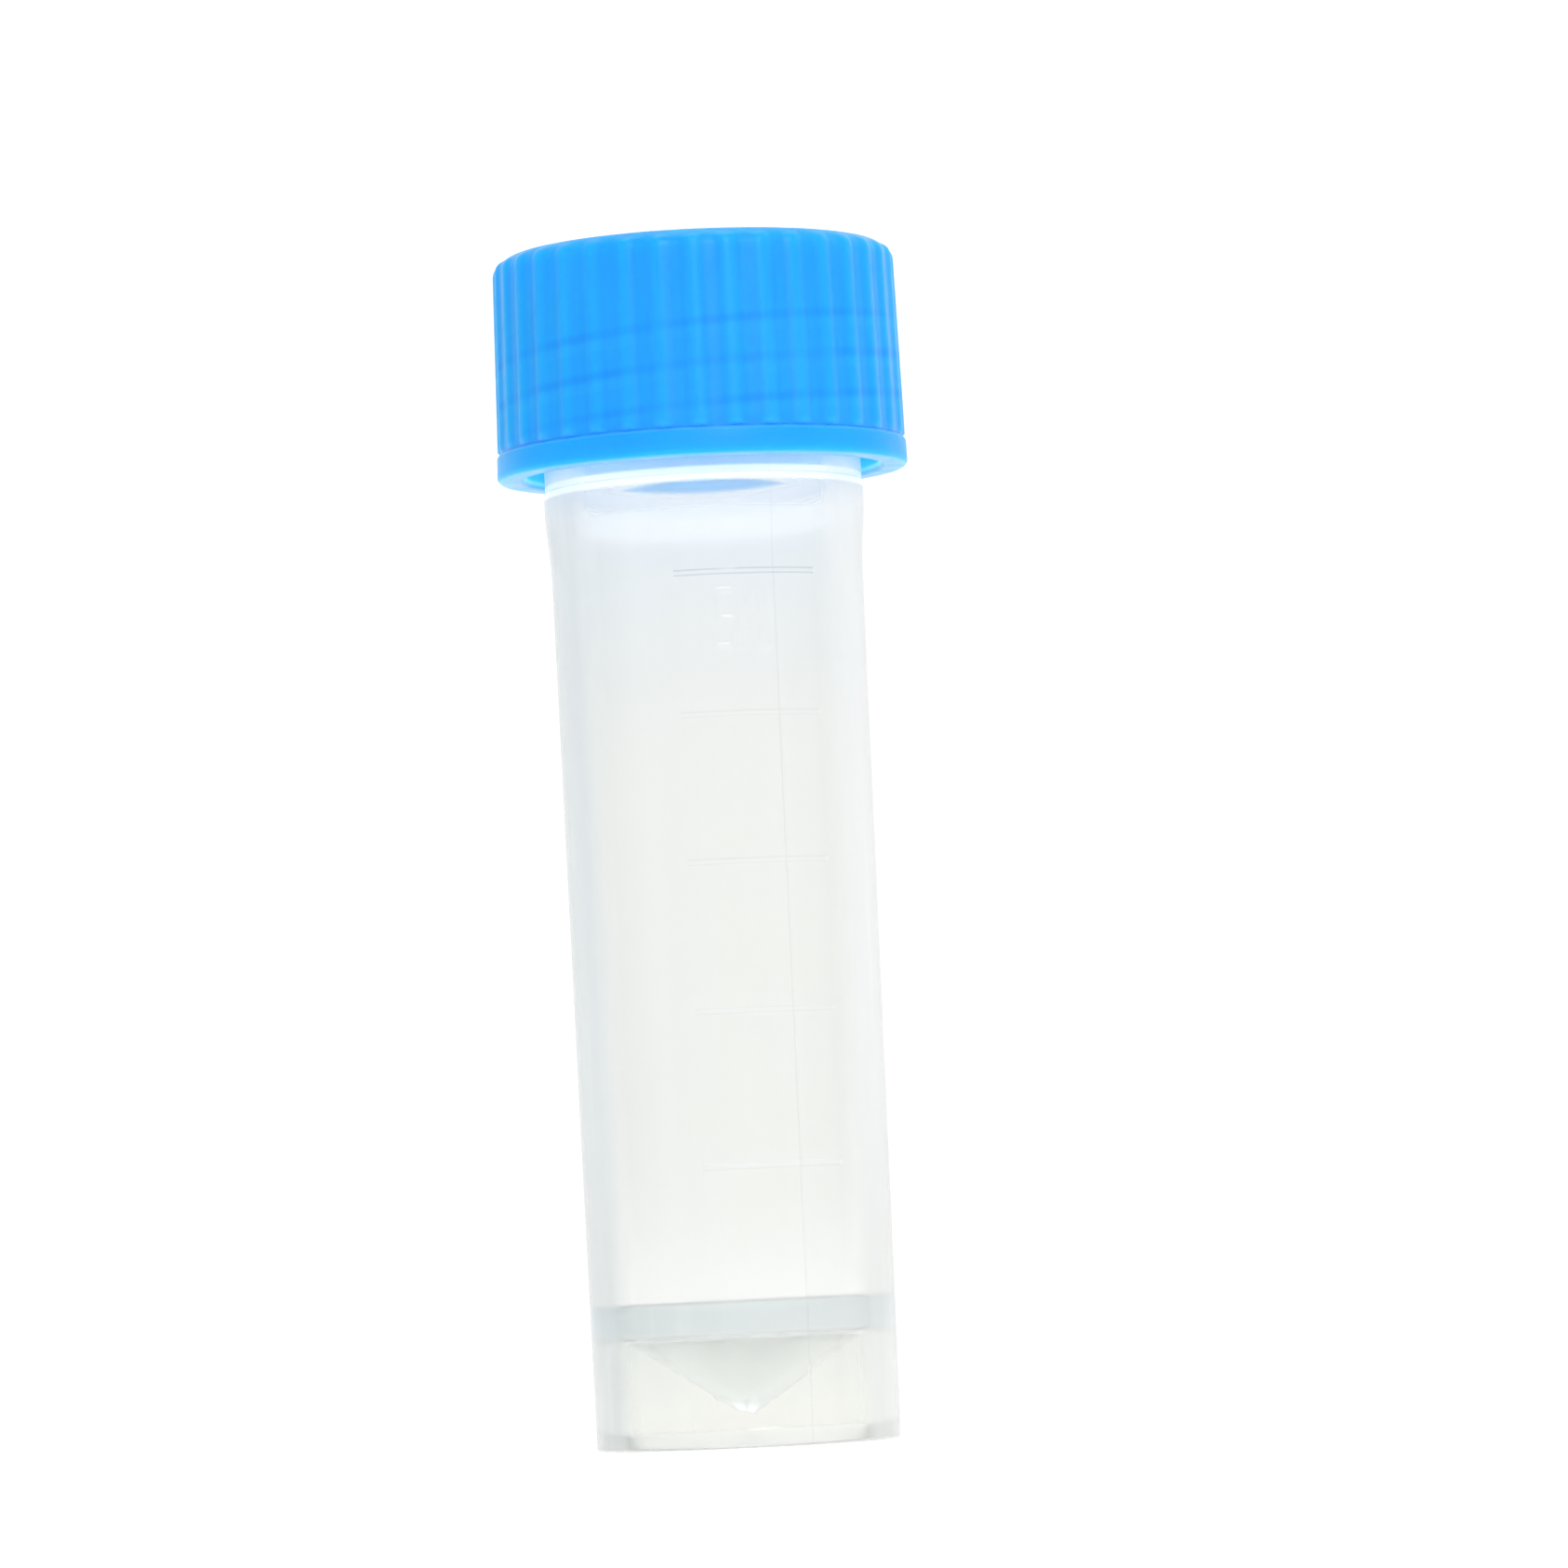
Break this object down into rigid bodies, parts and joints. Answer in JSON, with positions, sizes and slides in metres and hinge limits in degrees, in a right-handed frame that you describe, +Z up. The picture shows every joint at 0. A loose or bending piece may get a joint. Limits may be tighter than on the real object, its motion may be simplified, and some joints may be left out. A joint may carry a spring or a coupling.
{
  "type": "sample tube",
  "caption": "Frosted self-standing sample tube with a conical floor, an open skirt, raised graduations and a ribbed blue screw cap.",
  "frame": {"origin": "on the tube's axis, in the plane of the foot ring that it stands on", "axes": "+Z up along the tube's axis, from the foot to the cap; the graduated side faces -Y"},
  "size_m": [0.0205, 0.0204, 0.0595],
  "materials": {
    "tube_plastic": "frosted",
    "seal_silicone": "satin",
    "cap_plastic": "semi-gloss"
  },
  "bodies": {
    "tube": {"tube": "tube_plastic"},
    "seal": {"seal": "seal_silicone"},
    "cap": {"cap": "cap_plastic"}
  },
  "joints": [
    {"name": "cap_lift", "type": "slide", "parent": "tube", "child": "seal", "axis": [0, 0, 1], "range_m": [0, 0.006]},
    {"name": "cap_turn", "type": "hinge", "parent": "seal", "child": "cap", "pos_m": [0, 0, 0.0588], "axis": [0, 0, 1], "range_deg": [0, 540]}
  ],
  "couplings": [
    {"joint": "cap_lift", "follows": "cap_turn", "m_per_rad": 0.00063662}
  ]
}
